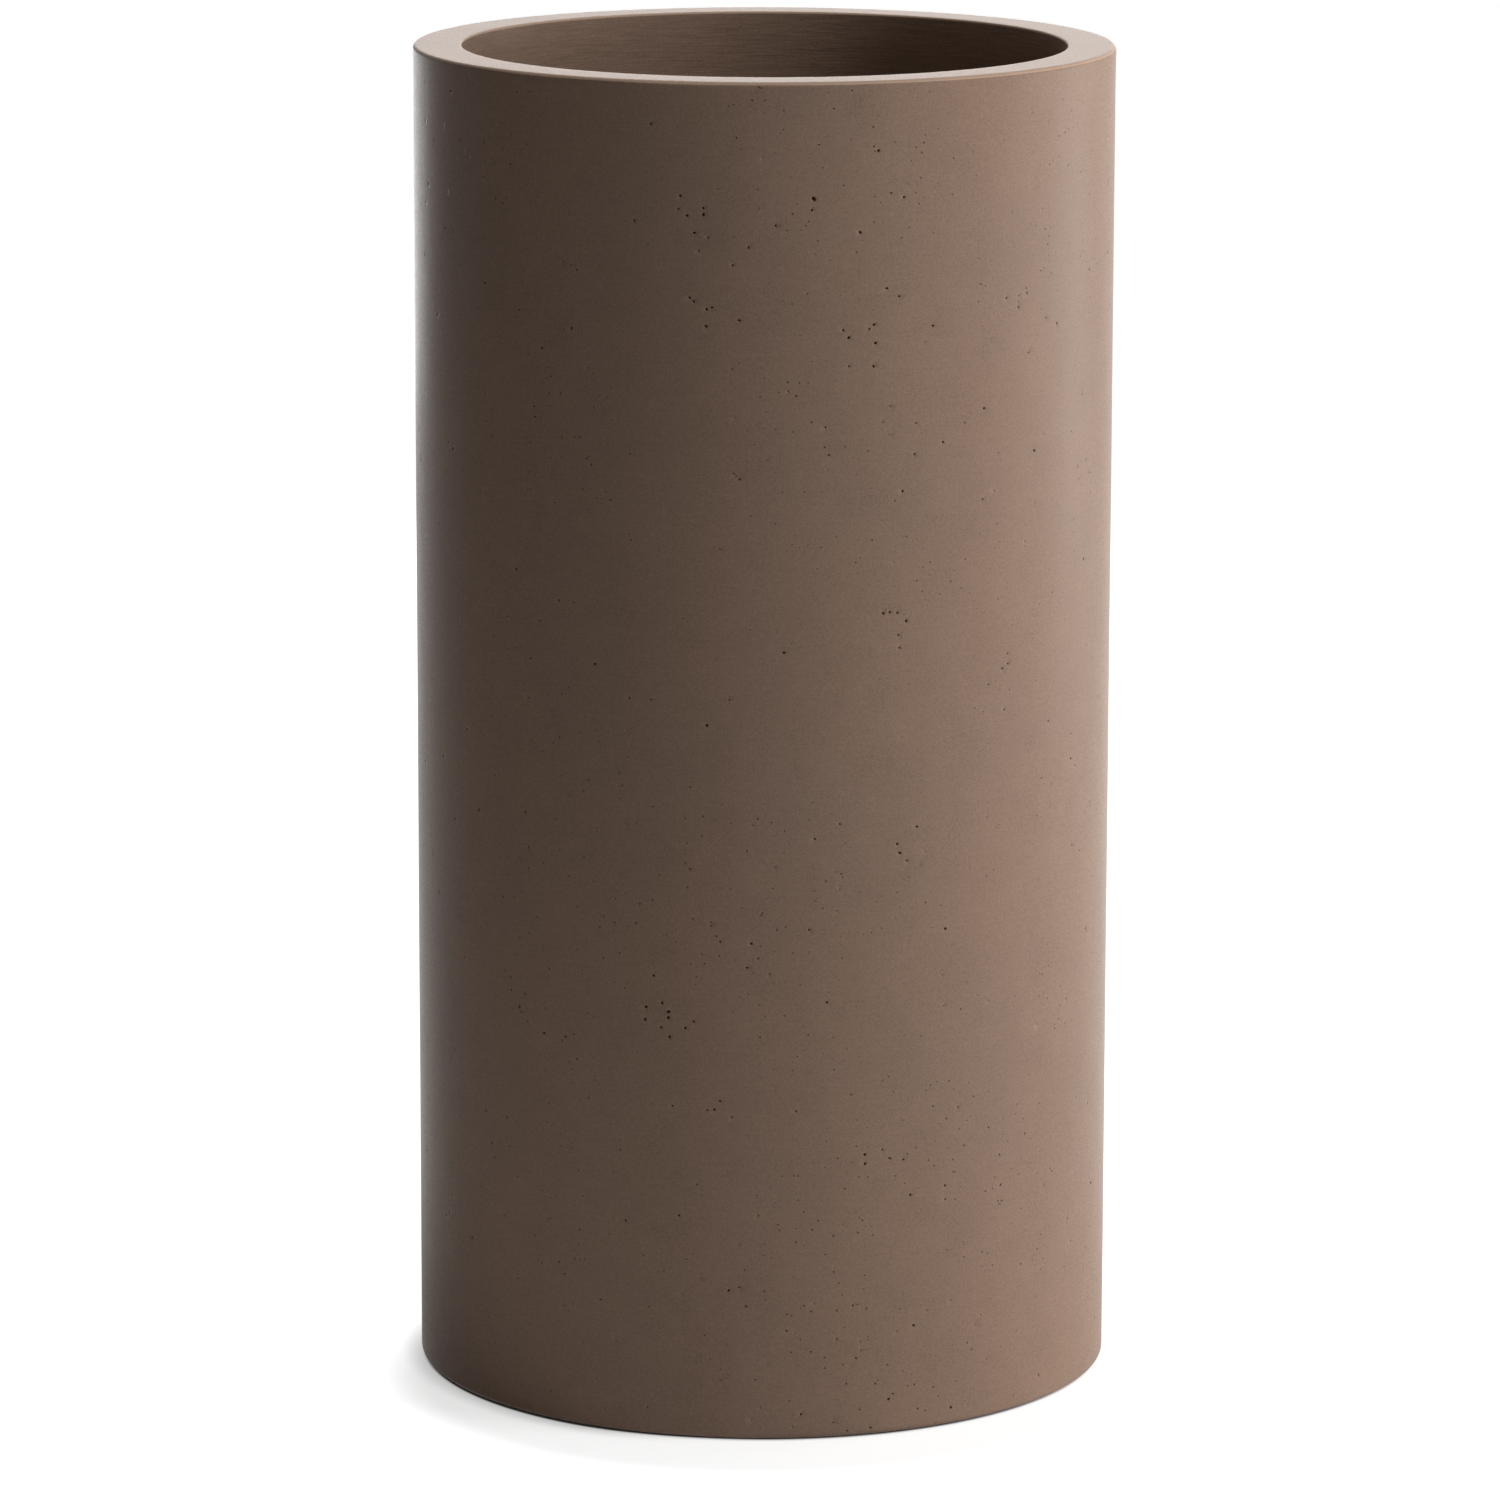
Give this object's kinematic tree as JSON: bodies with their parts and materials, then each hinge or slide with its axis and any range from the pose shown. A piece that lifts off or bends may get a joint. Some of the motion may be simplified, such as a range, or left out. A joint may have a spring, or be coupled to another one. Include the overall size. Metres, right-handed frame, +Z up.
{
  "type": "round planter",
  "caption": "Tall straight cylindrical cement planter, open at the top, with a thick flat rim, a drain hole closed by a pull-out rubber stopper, and thin rubber foot pads.",
  "frame": {"origin": "on the ground, under the middle of the planter", "axes": "+Z up along the planter's round axis, out of its mouth; +X and +Y level, with the foot pads at 45 degrees to them"},
  "size_m": [0.318, 0.3178, 0.61],
  "materials": {
    "cement": "matte",
    "plug_rubber": "matte",
    "pad_rubber": "matte"
  },
  "bodies": {
    "planter": {"planter_shell": "cement", "foot_pad_1": "pad_rubber", "foot_pad_2": "pad_rubber", "foot_pad_3": "pad_rubber", "foot_pad_4": "pad_rubber"},
    "stopper": {"drain_plug": "plug_rubber"}
  },
  "joints": [
    {"name": "plug_lift", "type": "slide", "parent": "planter", "child": "stopper", "axis": [0, 0, 1], "range_m": [0, 0.61]}
  ]
}
